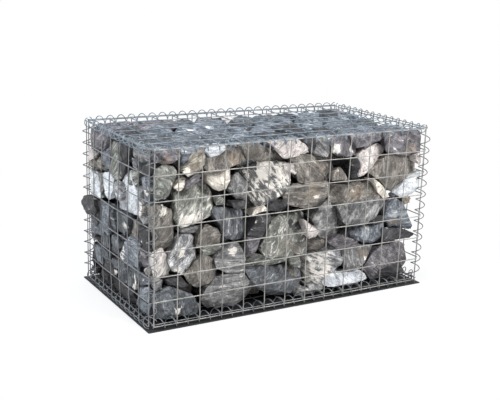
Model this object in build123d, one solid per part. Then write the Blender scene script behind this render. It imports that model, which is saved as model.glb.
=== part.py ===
from build123d import *
import math
import os

# A gabion: a welded wire basket laced together with wire coils and filled with quarry stone,
# standing on a thin board. X runs along its length, Y from front to back, Z up from the floor.

# Driving dimensions, in millimetres
mesh_pitch = 75.0
depth_pitch = 71.0
mesh_columns = 13
mesh_rows = 7
end_columns = 7
mesh_wire = 4.0
coil_wire = 4.0
coil_radius = 16.0
coil_sides = 6
coil_wire_sides = 3
coil_turns_per_cell = 2
coil_clearance = 0.3
coil_end_clearance = 1.5
board_thickness = 4.0
board_overhang = 4.0
seat_clearance = 0.2
fill_clearance = 0.6
face_gap = 6.0
lid_gap = 14.0
face_stone_depth = 110.0
top_stone_height = 90.0
corner_void = 55.0
back_dip = 40.0
back_dip_run = 140.0

# The basket between the edge wires, and the fill inside it
length = mesh_pitch * mesh_columns
depth = depth_pitch * end_columns
height = mesh_pitch * mesh_rows
fill_bottom = 1.5 * mesh_wire + fill_clearance
fill_top = height - 1.5 * mesh_wire - lid_gap

# How far the upright panels stand out, so that a coil just goes round the wires at a corner
wire_corner = math.hypot(mesh_wire, mesh_wire) / 2
coil_seat = (coil_wire / 2 + coil_clearance) / math.cos(math.pi / coil_sides)
wire_spread = coil_radius - wire_corner - coil_seat
outer_bars = wire_spread * math.sqrt(2)
panel_offset = outer_bars - mesh_wire / 2
inner_bars = panel_offset - mesh_wire / 2
fill_reach = inner_bars - mesh_wire / 2 - face_gap

# How far short of the corners the coils end, so that they clear each other
coil_lift = (wire_spread - outer_bars / 2) / math.tan(math.pi / coil_sides)
coil_reach = coil_radius + coil_wire / 2
lying_inset = coil_reach - outer_bars / 2 + coil_end_clearance
upright_inset = coil_reach + coil_lift + coil_end_clearance


def mesh_panel(across, across_pitch, up, up_pitch):
    """A welded panel, flat in XY: bars along Y below the plane and bars along X above it."""
    wide = across * across_pitch
    tall = up * up_pitch
    bars = []
    for column in range(across + 1):
        x = column * across_pitch - wide / 2
        bars.append(Pos(x, 0, -mesh_wire / 2) * Box(mesh_wire, tall + mesh_wire, mesh_wire))
    for row in range(up + 1):
        y = row * up_pitch - tall / 2
        bars.append(Pos(0, y, mesh_wire / 2) * Box(wide + mesh_wire, mesh_wire, mesh_wire))
    return bars[0].fuse(*bars[1:])


def standing_panel(across, across_pitch, x, y, turn):
    """A panel on edge, its outer face turned about Z from facing the front."""
    panel = mesh_panel(across, across_pitch, mesh_rows, mesh_pitch)
    return Pos(x, y, height / 2) * Rot(0, 0, turn) * Rot(90, 0, 0) * panel


def lying_panel(z, flip):
    """A panel that lies flat, its outer face up, or down when flipped."""
    panel = mesh_panel(mesh_columns, mesh_pitch, end_columns, depth_pitch)
    return Pos(0, 0, z) * Rot(flip, 0, 0) * panel


def lacing_coil(cells, cell_pitch, inset):
    """A coil along Z about the origin, its innermost points toward +X and between the bars."""
    pitch = cell_pitch / coil_turns_per_cell
    turns_each_way = (cells * cell_pitch / 2 - inset) / pitch
    first = math.ceil(coil_sides * (0.25 - turns_each_way))
    last = math.floor(coil_sides * (0.25 + turns_each_way))
    corners = []
    for corner in range(first, last + 1):
        turn = corner / coil_sides + 0.25
        angle = 2 * math.pi * turn
        corners.append((coil_radius * math.cos(angle), coil_radius * math.sin(angle),
                        pitch * (turn - 0.5)))
    path = Polyline(*corners)
    section = Plane(origin=path @ 0, z_dir=path % 0)
    section = section * RegularPolygon(coil_wire / 2, coil_wire_sides)
    return sweep(section, path=path, transition=Transition.RIGHT)


def coil_place(first_wire, second_wire, along, push):
    """The plane of a coil round two edge wires given at mid run, its X toward the basket's middle.

    The coil is pushed away from the middle, or toward it where push is -1, until it seats.
    """
    first = Vector(*first_wire)
    second = Vector(*second_wire)
    middle = (first + second) / 2
    inward = (second - first).cross(Vector(*along)).normalized()
    if inward.dot(Vector(0, 0, height / 2) - middle) < 0:
        inward = -inward
    slack = wire_spread - (second - first).length / 2
    axis = middle - inward * push * slack / math.tan(math.pi / coil_sides)
    return Plane(origin=axis, x_dir=inward, z_dir=along)


def lying_coil_places():
    """Where the coils lie along the top and bottom edges: the top ones up, the bottom ones under."""
    places = {}
    for level, up in {"top": 1, "bottom": -1}.items():
        edge_z = height / 2 + up * height / 2
        for face, out in {"front": -1, "back": 1}.items():
            panel_wire = (0, out * (depth / 2 + outer_bars), edge_z)
            cover_wire = (0, out * depth / 2, edge_z)
            places[f"{level}_{face}_coil"] = coil_place(panel_wire, cover_wire, (1, 0, 0), up)
        for end, way in {"left": -1, "right": 1}.items():
            panel_wire = (way * (length / 2 + outer_bars), 0, edge_z)
            cover_wire = (way * length / 2, 0, edge_z - up * mesh_wire)
            places[f"{level}_{end}_coil"] = coil_place(panel_wire, cover_wire, (0, 1, 0), up)
    return places


def upright_coil_places():
    """Where the coils stand at the four corners, pushed outward."""
    places = {}
    for face, out in {"front": -1, "back": 1}.items():
        for end, way in {"left": -1, "right": 1}.items():
            face_wire = (way * length / 2, out * (depth / 2 + inner_bars), height / 2)
            end_wire = (way * (length / 2 + inner_bars), out * depth / 2, height / 2)
            places[f"{face}_{end}_coil"] = coil_place(face_wire, end_wire, (0, 0, 1), 1)
    return places


def stone_mass(lying, upright):
    """The whole fill: a block inside the wires, cut back along its edges where the coils pass."""
    wide = length + 2 * fill_reach
    deep = depth + 2 * fill_reach
    mass = Pos(0, 0, (fill_bottom + fill_top) / 2) * Box(wide, deep, fill_top - fill_bottom)
    room = coil_reach + fill_clearance
    coil_room = Box(2 * room, 2 * room, 2 * length)
    cuts = [place * Rot(0, 0, 45) * coil_room for place in lying.values()]
    cuts += [place * coil_room for place in upright.values()]
    void_side = corner_void * math.sqrt(2)
    void = Rot(0, 0, 45) * Box(void_side, void_side, 2 * height)
    cuts += [Pos(wide / 2, -deep / 2, 0) * void, Pos(-wide / 2, deep / 2, 0) * void]
    slope = Plane(origin=(0, deep / 2, fill_top - back_dip), z_dir=(0, back_dip, back_dip_run))
    return split(mass - cuts, bisect_by=slope, keep=Keep.BOTTOM)


def share(mass, low, high):
    """The stone between two corners of a block, short of each by half the fill's clearance."""
    sides = [b - a - fill_clearance for a, b in zip(low, high)]
    return mass & Pos(*[(a + b) / 2 for a, b in zip(low, high)]) * Box(*sides)


def stone_shares(mass):
    """The fill by where it lies: behind each face, under the lid and in the core."""
    end_x = length / 2 + fill_reach - face_stone_depth
    face_y = depth / 2 + fill_reach - face_stone_depth
    top_z = fill_top - top_stone_height
    far = length
    return {
        "front_stones": share(mass, (-far, -far, 0), (far, -face_y, top_z)),
        "back_stones": share(mass, (-far, face_y, 0), (far, far, top_z)),
        "left_end_stones": share(mass, (-far, -face_y, 0), (-end_x, face_y, top_z)),
        "right_end_stones": share(mass, (end_x, -face_y, 0), (far, face_y, top_z)),
        "core_stones": share(mass, (-end_x, -face_y, 0), (end_x, face_y, top_z)),
        "top_stones": share(mass, (-far, -far, top_z), (far, far, height)),
    }


os.makedirs("parts", exist_ok=True)
front = depth / 2 + panel_offset
side = length / 2 + panel_offset
pieces = {
    "front_mesh_panel": standing_panel(mesh_columns, mesh_pitch, 0, -front, 0),
    "back_mesh_panel": standing_panel(mesh_columns, mesh_pitch, 0, front, 180),
    "left_mesh_panel": standing_panel(end_columns, depth_pitch, -side, 0, -90),
    "right_mesh_panel": standing_panel(end_columns, depth_pitch, side, 0, 90),
    "mesh_lid": lying_panel(height - mesh_wire / 2, 0),
    "mesh_base": lying_panel(mesh_wire / 2, 180),
}

long_coil = lacing_coil(mesh_columns, mesh_pitch, lying_inset)
deep_coil = lacing_coil(end_columns, depth_pitch, lying_inset)
tall_coil = lacing_coil(mesh_rows, mesh_pitch, upright_inset)
lying = lying_coil_places()
upright = upright_coil_places()
for name, place in lying.items():
    pieces[name] = place * (long_coil if "front" in name or "back" in name else deep_coil)
for name, place in upright.items():
    pieces[name] = place * tall_coil
pieces.update(stone_shares(stone_mass(lying, upright)))

coil_bottom = min(pieces[name].bounding_box().min.Z for name in lying)
lift = board_thickness + seat_clearance - coil_bottom
for name, piece in pieces.items():
    export_step(Pos(0, 0, lift) * piece, f"parts/{name}.step")
board_margin = outer_bars + mesh_wire / 2 + board_overhang
board = Box(length + 2 * board_margin, depth + 2 * board_margin, board_thickness)
export_step(Pos(0, 0, board_thickness / 2) * board, "parts/base_board.step")
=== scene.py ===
import logging
import math
from dataclasses import dataclass, replace
from enum import Enum
from typing import Callable, Iterable, Mapping, Sequence, Union

import bmesh
import bpy
import numpy as np
from mathutils import Matrix, Vector, noise


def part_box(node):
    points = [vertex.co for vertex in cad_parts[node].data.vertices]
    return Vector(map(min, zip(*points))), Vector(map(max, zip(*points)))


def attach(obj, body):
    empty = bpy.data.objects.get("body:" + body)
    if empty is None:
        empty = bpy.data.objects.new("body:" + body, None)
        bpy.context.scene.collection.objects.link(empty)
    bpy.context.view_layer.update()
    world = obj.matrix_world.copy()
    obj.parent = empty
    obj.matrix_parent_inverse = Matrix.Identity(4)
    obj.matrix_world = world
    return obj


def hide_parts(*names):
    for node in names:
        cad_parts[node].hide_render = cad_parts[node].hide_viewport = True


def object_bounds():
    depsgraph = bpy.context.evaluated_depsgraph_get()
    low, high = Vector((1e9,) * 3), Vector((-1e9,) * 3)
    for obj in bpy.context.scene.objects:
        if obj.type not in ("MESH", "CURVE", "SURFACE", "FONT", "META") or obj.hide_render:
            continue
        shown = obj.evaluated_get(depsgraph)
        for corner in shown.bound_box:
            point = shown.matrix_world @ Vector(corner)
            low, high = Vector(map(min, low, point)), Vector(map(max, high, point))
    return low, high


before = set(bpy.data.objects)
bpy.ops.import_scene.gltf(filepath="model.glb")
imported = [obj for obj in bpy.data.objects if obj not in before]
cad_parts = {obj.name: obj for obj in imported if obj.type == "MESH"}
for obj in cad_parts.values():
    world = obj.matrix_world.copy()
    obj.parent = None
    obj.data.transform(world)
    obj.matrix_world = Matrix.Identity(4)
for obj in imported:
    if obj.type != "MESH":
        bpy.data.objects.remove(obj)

LOG = logging.getLogger("gabion")
CAD_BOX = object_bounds()

# Lengths are in millimetres, except where metres are named
MILLIMETRE = 0.001
CAD_HALF_WIRE = 2.0
NOMINAL_PITCH = 75.0
TINY = 1e-6

# The camera's place from the basket's middle, its height above the bottom wires
EYE = (-1513.4, -2520.7, 1036.4)

# Up, what half a turn about it does to a point, a direction that no wire runs along, and how many
# degrees a wire's surface bends before an edge shows
UP = np.array([0.0, 0.0, 1.0])
HALF_TURN = np.array([-1.0, -1.0, 1.0])
NO_WIRE_RUNS = (0.31, 0.53, 0.79)
WIRE_CREASE = 50.0

# A colour as light, a patch as place and radius in cells, an outline in cells, and what a shader
# socket takes
Tone = tuple[float, float, float]
Spot = tuple[float, float, float]
Outline = tuple[tuple[float, float], ...]
Value = Union["Signal", float, Tone]


# Shader graphs


class Signal:
    """One output of a shader node, on which sums and products add the nodes they need."""

    def __init__(self, graph: "Graph", socket: bpy.types.NodeSocket) -> None:
        """Wrap an output socket, with the graph that new nodes go into."""
        self.graph = graph
        self.socket = socket

    def _join(self, operation: str, first: Value, second: Value) -> "Signal":
        """Add one Math node, or one Vector Math node when this signal is a vector.

        Args:
            operation: The operation's name.
            first: The left-hand side.
            second: The right-hand side.

        Returns:
            The result's signal.
        """
        flat = self.socket.type == "VALUE"
        kind = "ShaderNodeMath" if flat else "ShaderNodeVectorMath"
        sides = [side if flat or isinstance(side, (Signal, tuple)) else (side,) * 3
                 for side in (first, second)]
        return self.graph.node(kind, {"operation": operation}, {0: sides[0], 1: sides[1]})

    def __add__(self, other: Value) -> "Signal":
        """Add."""
        return self._join("ADD", self, other)

    def __radd__(self, other: Value) -> "Signal":
        """Add, with the other side first."""
        return self._join("ADD", other, self)

    def __sub__(self, other: Value) -> "Signal":
        """Subtract."""
        return self._join("SUBTRACT", self, other)

    def __rsub__(self, other: Value) -> "Signal":
        """Subtract this from the other side."""
        return self._join("SUBTRACT", other, self)

    def __mul__(self, other: Value) -> "Signal":
        """Multiply."""
        return self._join("MULTIPLY", self, other)

    def __rmul__(self, other: Value) -> "Signal":
        """Multiply, with the other side first."""
        return self._join("MULTIPLY", other, self)

    def larger(self, other: Value) -> "Signal":
        """Keep the larger of two values."""
        return self._join("MAXIMUM", self, other)

    def crossing(self, width: float) -> "Signal":
        """Draw a line, so wide, where a cloud passes its middle."""
        return 1.0 - (self - 0.5).larger(0.5 - self).step(0.0, width)

    def step(self, low: float, high: float) -> "Signal":
        """Rise smoothly from 0 at low to 1 at high."""
        return self.graph.node("ShaderNodeMapRange", {"interpolation_type": "SMOOTHSTEP"},
                               {"Value": self, "From Min": low, "From Max": high})


class Graph:
    """The node tree of one material or of the world."""

    def __init__(self, tree: bpy.types.NodeTree) -> None:
        """Take over a node tree and empty it."""
        self.tree = tree
        tree.nodes.clear()

    def node(self, kind: str, settings: Mapping[str, object] | None = None,
             sockets: Mapping[str | int, Value] | None = None, out: str | int = 0) -> Signal | None:
        """Add a node, set it up, then fill its sockets.

        Args:
            kind: The node's type.
            settings: Properties set before the sockets.
            sockets: Values or signals by socket name or number.
            out: The output that is wanted.

        Returns:
            The signal of that output, or None for a node that has none.
        """
        made = self.tree.nodes.new(kind)
        for name, value in (settings or {}).items():
            setattr(made, name, value)
        for name, value in (sockets or {}).items():
            wanted = made.inputs[name]
            if isinstance(value, Signal):
                self.tree.links.new(value.socket, wanted)
            elif wanted.type == "RGBA" and isinstance(value, tuple) and len(value) == 3:
                wanted.default_value = (*value, 1.0)
            else:
                wanted.default_value = value
        return Signal(self, made.outputs[out]) if len(made.outputs) else None

    def mix(self, share: Value, first: Value, second: Value) -> Signal:
        """Blend two colours, the second by this share."""
        return self.node("ShaderNodeMix", {"data_type": "RGBA"}, {0: share, 6: first, 7: second}, 2)

    def cloud(self, place: Signal, scale: float, detail: float = 3.0, rough: float = 0.55,
              twist: float = 0.0) -> Signal:
        """Cloudy noise from 0 to 1, with scale lumps to a unit and detail octaves, stirred by twist."""
        return self.node("ShaderNodeTexNoise", {},
                         {"Vector": place, "Scale": scale, "Detail": detail, "Roughness": rough,
                          "Distortion": twist})

    def bump(self, height: Signal, strength: float, reach: float) -> Signal:
        """Turn a height into a normal."""
        return self.node("ShaderNodeBump", {},
                         {"Strength": strength, "Distance": reach, "Height": height})

    def seen_plainly(self) -> Signal:
        """Tell rays that show a thing, straight or by mirror or glass, from scattered light."""
        straight, glossy, clear = (
            self.node("ShaderNodeLightPath", {}, {}, name)
            for name in ("Is Camera Ray", "Is Glossy Ray", "Is Transmission Ray"))
        return straight.larger(glossy).larger(clear)

    def coat(self, sockets: Mapping[str | int, Value]) -> None:
        """End the graph with one Principled shader that has these values and signals."""
        shader = self.node("ShaderNodeBsdfPrincipled", {}, sockets)
        self.node("ShaderNodeOutputMaterial", {}, {"Surface": shader})


def blank(name: str) -> tuple[bpy.types.Material, Graph]:
    """Make an empty node material.

    Args:
        name: The material's name.

    Returns:
        The material and its graph.
    """
    material = bpy.data.materials.new(name)
    material.use_nodes = True
    return material, Graph(material.node_tree)


def tone(red: float, green: float, blue: float) -> Tone:
    """Turn a colour as seen, 0 to 255, into the light it stands for."""
    return tuple(c / 12.92 if c <= 0.04045 else ((c + 0.055) / 1.055) ** 2.4
                 for c in (red / 255, green / 255, blue / 255))


# Finishes


@dataclass(frozen=True)
class WireFinish:
    """Galvanised steel wire."""

    name: str
    bright: Tone
    dull: Tone

    def material(self) -> bpy.types.Material:
        """Make the zinc with its cloudy patina.

        Returns:
            The material.
        """
        material, graph = blank(self.name)
        place = graph.node("ShaderNodeTexCoord", {}, {}, "Object")
        patina = graph.cloud(place, 26.0, 4.0, 0.6)
        spangle = graph.cloud(place, 420.0, 2.0, 0.5)
        worn = (patina * 0.75 + spangle * 0.35).step(0.35, 0.72)
        graph.coat({
            "Base Color": graph.mix(worn, self.dull, self.bright),
            "Metallic": 0.35,
            "Roughness": 0.6 - 0.2 * worn,
            "Normal": graph.bump(spangle, 0.25, 0.0004),
        })
        return material


@dataclass(frozen=True)
class BoardFinish:
    """The dark, damp-stained base board, its near-black partly painted shadow under the basket."""

    name: str = "dark_board_and_painted_shadow"
    # Near-black partly as painted shadow: the dark strip under the basket.
    dark: Tone = tone(21, 22, 26)
    worn: Tone = tone(52, 50, 48)
    mossy: Tone = tone(36, 40, 38)

    def material(self) -> bpy.types.Material:
        """Make the board's coating with scuffs and greenish stains.

        Returns:
            The material.
        """
        material, graph = blank(self.name)
        place = graph.node("ShaderNodeTexCoord", {}, {}, "Object")
        stain = graph.cloud(place, 7.0, 5.0, 0.6)
        scuff = graph.cloud(place * (1.0, 1.0, 6.0), 60.0, 4.0, 0.65)
        colour = graph.mix(stain.step(0.45, 0.75), self.dark, self.mossy)
        colour = graph.mix(scuff.step(0.55, 0.8), colour, self.worn)
        graph.coat({
            "Base Color": colour,
            "Roughness": 0.62 + 0.25 * scuff,
            "Normal": graph.bump(scuff + stain * 0.5, 0.35, 0.0012),
        })
        return material


class Kind(Enum):
    """The sorts of quarry stone in the fill."""

    GREEN = "greenish_grey_stone"
    VEINED = "veined_light_stone"
    BLUE = "blue_grey_stone"
    PURPLE = "purple_grey_stone"
    GREY = "grey_stone"
    SLATE = "slate_grey_stone"
    BROWN = "brown_grey_stone"
    TAN = "tan_stone"
    CREAM = "cream_stone"
    PINK = "pale_pink_stone"
    WHITE = "blue_white_stone"
    MOTTLED = "mottled_white_stone"
    STREAKED = "white_streaked_stone"
    # Dark stone, also used as painted shade in the core and along the left end's lowest row.
    DARK_AND_SHADE = "dark_stone_and_painted_shade"


@dataclass(frozen=True)
class StoneFinish:
    """One sort of broken quarry stone."""

    kind: Kind
    dark: Tone
    light: Tone
    vein: Tone
    veins: float = 0.55
    quartz: Tone = tone(238, 232, 224)
    rust: Tone = tone(142, 122, 98)
    crack: Tone = tone(48, 46, 46)

    def material(self) -> bpy.types.Material:
        """Make the stone, with beds, veins, cracks, quartz and rusty patches in its own grain.

        Returns:
            The material.
        """
        material, graph = blank(self.kind.value)
        grain = graph.node("ShaderNodeAttribute", {"attribute_name": "grain"}, {}, "Vector")
        pale = graph.node("ShaderNodeAttribute", {"attribute_name": "pale"}, {}, "Fac")
        rusty = graph.node("ShaderNodeAttribute", {"attribute_name": "rusty"}, {}, "Fac")
        lumps = graph.cloud(grain, 3.4, 5.0, 0.62)
        beds = graph.cloud(grain * (0.7, 0.7, 4.2), 1.7, 7.0, 0.66, 0.9)
        grit = graph.cloud(grain, 19.0, 5.0, 0.78)
        seams = graph.cloud(grain * (0.6, 0.6, 2.4), 1.5, 4.0, 0.55, 1.4)
        body = graph.mix((beds * 0.55 + lumps * 0.3 + grit * 0.4).step(0.5, 0.76), self.dark, self.light)
        streaks = seams.crossing(0.035) * lumps.step(0.4, 0.55) + beds.step(0.6, 0.74) * 0.6
        body = graph.mix(streaks * self.veins, body, self.vein)
        stained = (rusty + (lumps - 0.5) * 1.6).step(0.35, 0.85) * 0.4
        body = graph.mix(stained, body, self.rust)
        crystal = (pale + (beds - 0.5) * 3.0 + (lumps - 0.5) * 2.0).step(0.5, 0.66)
        body = graph.mix(crystal * 0.9, body, self.quartz)
        cracks = beds.crossing(0.018)
        body = graph.mix(cracks * 0.55, body, self.crack)
        graph.coat({
            "Base Color": body,
            "Roughness": 0.86 - 0.25 * grit,
            "Normal": graph.bump(lumps * 0.7 + beds * 1.1 + grit * 0.5 - cracks * 0.25, 0.75, 0.006),
        })
        return material


STONE_FINISHES = (
    StoneFinish(Kind.GREEN, tone(76, 78, 74), tone(151, 152, 146), tone(202, 201, 192), 0.8),
    StoneFinish(Kind.VEINED, tone(88, 89, 85), tone(166, 166, 159), tone(222, 220, 210), 1.0),
    StoneFinish(Kind.BLUE, tone(70, 75, 82), tone(139, 145, 153), tone(200, 205, 212)),
    StoneFinish(Kind.PURPLE, tone(70, 67, 71), tone(138, 134, 139), tone(188, 183, 187)),
    StoneFinish(Kind.GREY, tone(74, 74, 76), tone(150, 149, 149), tone(206, 204, 202)),
    StoneFinish(Kind.SLATE, tone(54, 56, 60), tone(114, 118, 123), tone(176, 179, 183), 0.5),
    StoneFinish(Kind.BROWN, tone(74, 70, 66), tone(146, 140, 133), tone(196, 189, 179)),
    StoneFinish(Kind.TAN, tone(108, 101, 91), tone(180, 171, 156), tone(220, 213, 200)),
    StoneFinish(Kind.CREAM, tone(190, 182, 170), tone(246, 238, 227), tone(128, 120, 112), 0.35),
    StoneFinish(Kind.PINK, tone(176, 168, 166), tone(242, 233, 229), tone(118, 110, 109), 0.45),
    StoneFinish(Kind.WHITE, tone(190, 194, 201), tone(244, 246, 249), tone(122, 129, 140), 0.4),
    StoneFinish(Kind.MOTTLED, tone(66, 67, 71), tone(196, 196, 199), tone(240, 238, 236), 0.9),
    StoneFinish(Kind.STREAKED, tone(76, 76, 77), tone(152, 150, 149), tone(242, 238, 231), 1.0),
    # The dark stone's near-black tones serve real dark stones and also painted shade in the core and at
    # the left end's foot.
    StoneFinish(Kind.DARK_AND_SHADE, tone(32, 32, 35), tone(78, 77, 80), tone(118, 116, 116), 0.35),
)


# Meshes


@dataclass
class Shape:
    """The points and faces of one piece, gathered in millimetres."""

    name: str

    def __post_init__(self) -> None:
        """Start empty."""
        self.points: list[np.ndarray] = []
        self.faces: list[tuple[int, ...]] = []
        self.slots: list[int] = []
        self.marks: dict[str, list[np.ndarray]] = {}
        self.count = 0

    def add(self, points: np.ndarray, faces: Iterable[Sequence[int]], slot: int = 0,
            marks: Mapping[str, np.ndarray] | None = None) -> None:
        """Add a closed part.

        Args:
            points: Its corners, in millimetres.
            faces: Its faces, by corner number.
            slot: The number of its material.
            marks: Values kept at each point, by name.
        """
        for face in faces:
            self.faces.append(tuple(corner + self.count for corner in face))
            self.slots.append(slot)
        self.points.append(np.asarray(points, float))
        for name, values in (marks or {}).items():
            self.marks.setdefault(name, []).append(np.asarray(values, float))
        self.count += len(points)

    def piece(self, materials: Sequence[bpy.types.Material], crease: float) -> bpy.types.Object:
        """Make the Blender object.

        Args:
            materials: The materials, by slot number.
            crease: Edges sharper than this many degrees stay sharp.

        Returns:
            The object.
        """
        mesh = bpy.data.meshes.new(self.name)
        mesh.from_pydata((np.concatenate(self.points) * MILLIMETRE).tolist(), [], self.faces)
        for material in materials:
            mesh.materials.append(material)
        mesh.polygons.foreach_set("material_index", self.slots)
        mesh.polygons.foreach_set("use_smooth", [True] * len(self.faces))
        for name, parts in self.marks.items():
            values = np.concatenate(parts).astype(np.float32)
            wide = values.ndim == 2
            layer = mesh.attributes.new(name, "FLOAT_VECTOR" if wide else "FLOAT", "POINT")
            layer.data.foreach_set("vector" if wide else "value", values.ravel())
        mesh.update()
        mesh.set_sharp_from_angle(angle=math.radians(crease))
        made = bpy.data.objects.new(self.name, mesh)
        bpy.context.scene.collection.objects.link(made)
        return made

    def tube(self, path: np.ndarray, radius: float, sides: int = 8) -> None:
        """Add a round wire with closed ends.

        Args:
            path: The points of its centre line.
            radius: Its radius.
            sides: How many faces go round it.
        """
        runs = np.gradient(path, axis=0)
        runs /= np.linalg.norm(runs, axis=1)[:, None]
        across = np.cross(runs[0], NO_WIRE_RUNS)
        angles = np.arange(sides) * 2 * math.pi / sides
        points = []
        for centre, run in zip(path, runs):
            across = across - run * np.dot(across, run)
            across /= np.linalg.norm(across)
            other = np.cross(run, across)
            ring = np.outer(np.cos(angles), across) + np.outer(np.sin(angles), other)
            points.append(centre + radius * ring)
        faces = []
        for ring in range(len(path) - 1):
            for side in range(sides):
                near = ring * sides + side
                far = ring * sides + (side + 1) % sides
                faces.append((near, far, far + sides, near + sides))
        last = (len(path) - 1) * sides
        faces.append(tuple(range(sides))[::-1])
        faces.append(tuple(last + side for side in range(sides)))
        self.add(np.concatenate(points), faces)

    def bead(self, centre: np.ndarray, radii: np.ndarray, rings: int = 4, sides: int = 7) -> None:
        """Add a small round lump of weld.

        Args:
            centre: Its middle.
            radii: Its half sizes along three axes.
            rings: Faces from pole to pole.
            sides: Faces round it.
        """
        points = [(0.0, 0.0, -1.0)]
        for ring in range(1, rings):
            lift = -math.cos(math.pi * ring / rings)
            wide = math.sin(math.pi * ring / rings)
            for side in range(sides):
                angle = 2 * math.pi * side / sides
                points.append((wide * math.cos(angle), wide * math.sin(angle), lift))
        points.append((0.0, 0.0, 1.0))
        top = len(points) - 1
        faces = []
        for side in range(sides):
            after = (side + 1) % sides
            faces.append((0, 1 + after, 1 + side))
            for ring in range(rings - 2):
                low = 1 + ring * sides
                faces.append((low + side, low + after, low + sides + after, low + sides + side))
            last = 1 + (rings - 2) * sides
            faces.append((last + side, last + after, top))
        self.add(centre + np.array(points) * radii, faces)


def enter(piece: bpy.types.Object, slot: str, *nodes: str) -> bpy.types.Object:
    """Put a finished piece into the frame in place of its CAD nodes.

    Args:
        piece: The finished piece.
        slot: Not used.
        nodes: The CAD nodes that it stands for.

    Returns:
        The same piece.
    """
    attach(piece, "root")
    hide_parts(*nodes)
    LOG.info("%s stands for %s with %d faces", piece.name, ", ".join(nodes), len(piece.data.polygons))
    return piece


# The basket's layout


def node_box(name: str) -> tuple[np.ndarray, np.ndarray]:
    """Give a CAD node's lowest and highest corners in millimetres."""
    low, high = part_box(name)
    return np.array(low) / MILLIMETRE, np.array(high) / MILLIMETRE


@dataclass(frozen=True)
class Face:
    """One side of the basket, as cells counted across from its left and down from its top."""

    corner: np.ndarray
    across: np.ndarray
    down: np.ndarray
    inward: np.ndarray
    cells: tuple[int, int]
    bulge: float
    eye: np.ndarray

    def swell(self, u: float, v: float) -> float:
        """How far the wires stand out of flat.

        Args:
            u: The place across, in cells.
            v: The place down, in cells.

        Returns:
            The distance, in millimetres.
        """
        share_u = min(max(u / self.cells[0], 0.0), 1.0)
        share_v = min(max(v / self.cells[1], 0.0), 1.0)
        return self.bulge * math.sin(math.pi * share_u) * math.sin(math.pi * share_v)

    def at(self, u: float, v: float, depth: float = 0.0) -> np.ndarray:
        """A point so deep behind the wires, square to the side."""
        flat = self.corner + u * self.across + v * self.down
        return flat + self.inward * (depth - self.swell(u, v))

    def seen(self, u: float, v: float, depth: float) -> np.ndarray:
        """The point at a depth that shows at this place when the side is looked at from the eye.

        Args:
            u: The place across, in cells.
            v: The place down, in cells.
            depth: The depth behind the wires, in millimetres.

        Returns:
            The point.
        """
        flat = self.corner + u * self.across + v * self.down
        sight = flat - self.eye
        return flat + sight * (depth - self.swell(u, v)) / float(np.dot(sight, self.inward))


@dataclass(frozen=True)
class Basket:
    """Where the wires run, read from the CAD boxes, in millimetres."""

    front: float
    side: float
    lid: float
    base: float
    length: float
    depth: float
    bottom: float
    top: float
    reach: tuple[float, float]
    columns: int = 13
    rows: int = 7
    deep: int = 7
    front_bulge: float = -4.0
    end_bulge: float = 9.0

    @classmethod
    def measured(cls) -> "Basket":
        """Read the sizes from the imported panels.

        Returns:
            The basket.
        """
        front_low, front_high = node_box("front_mesh_panel")
        left_low, left_high = node_box("left_mesh_panel")
        lid_low, lid_high = node_box("mesh_lid")
        base_low, base_high = node_box("mesh_base")
        return cls(
            front=-(front_low[1] + front_high[1]) / 2,
            side=-(left_low[0] + left_high[0]) / 2,
            lid=(lid_low[2] + lid_high[2]) / 2,
            base=(base_low[2] + base_high[2]) / 2,
            length=front_high[0] - front_low[0] - 2 * CAD_HALF_WIRE,
            depth=left_high[1] - left_low[1] - 2 * CAD_HALF_WIRE,
            bottom=front_low[2] + CAD_HALF_WIRE,
            top=front_high[2] - CAD_HALF_WIRE,
            reach=(CAD_BOX[1][0] / MILLIMETRE, CAD_BOX[1][1] / MILLIMETRE),
        )

    @property
    def pitch(self) -> float:
        """The mesh pitch along and up."""
        return self.length / self.columns

    @property
    def deep_pitch(self) -> float:
        """The mesh pitch from front to back."""
        return self.depth / self.deep

    def eye(self) -> np.ndarray:
        """Where the camera stands, its height counted from the bottom wires."""
        return np.array(EYE) + self.bottom * UP

    def _side(self, corner: Sequence[float], across: Sequence[float], down: Sequence[float],
              inward: Sequence[float], cells: tuple[int, int], bulge: float = 0.0) -> Face:
        """Put one side together, as it is seen from the camera."""
        return Face(np.array(corner), np.array(across), np.array(down), np.array(inward), cells, bulge,
                    self.eye())

    def front_face(self) -> Face:
        """The front, seen from outside."""
        return self._side((-self.length / 2, -self.front, self.top), (self.pitch, 0.0, 0.0),
                          (0.0, 0.0, -self.pitch), (0.0, 1.0, 0.0), (self.columns, self.rows),
                          self.front_bulge)

    def left_face(self) -> Face:
        """The left end, seen from outside."""
        return self._side((-self.side, self.depth / 2, self.top), (0.0, -self.deep_pitch, 0.0),
                          (0.0, 0.0, -self.pitch), (1.0, 0.0, 0.0), (self.deep, self.rows),
                          self.end_bulge)

    def left_drawing(self) -> Face:
        """The left end as its stones are drawn, on a grid slightly wider than the wires and askew.

        Returns:
            The side, with that grid.
        """
        wires = self.left_face()
        left, drop, stretch, skew = 0.504, 0.105, 1.072, 0.015
        return replace(wires, corner=wires.corner - left * wires.across + drop * wires.down,
                       across=stretch * wires.across - skew * wires.down)

    def lid_face(self) -> Face:
        """The lid, seen from above with the back at the top."""
        return self._side((-self.length / 2, self.depth / 2, self.lid), (self.pitch, 0.0, 0.0),
                          (0.0, -self.deep_pitch, 0.0), (0.0, 0.0, -1.0), (self.columns, self.deep))

    def base_face(self) -> Face:
        """The base, seen from below with the front at the top."""
        return self._side((-self.length / 2, -self.depth / 2, self.base), (self.pitch, 0.0, 0.0),
                          (0.0, self.deep_pitch, 0.0), (0.0, 0.0, 1.0), (self.columns, self.deep))


def turned(face: Face) -> Face:
    """The side opposite, half a turn about the upright axis."""
    return replace(face, corner=face.corner * HALF_TURN, across=face.across * HALF_TURN,
                   down=face.down * HALF_TURN, inward=face.inward * HALF_TURN, eye=face.eye * HALF_TURN)


# Wire parts


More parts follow.
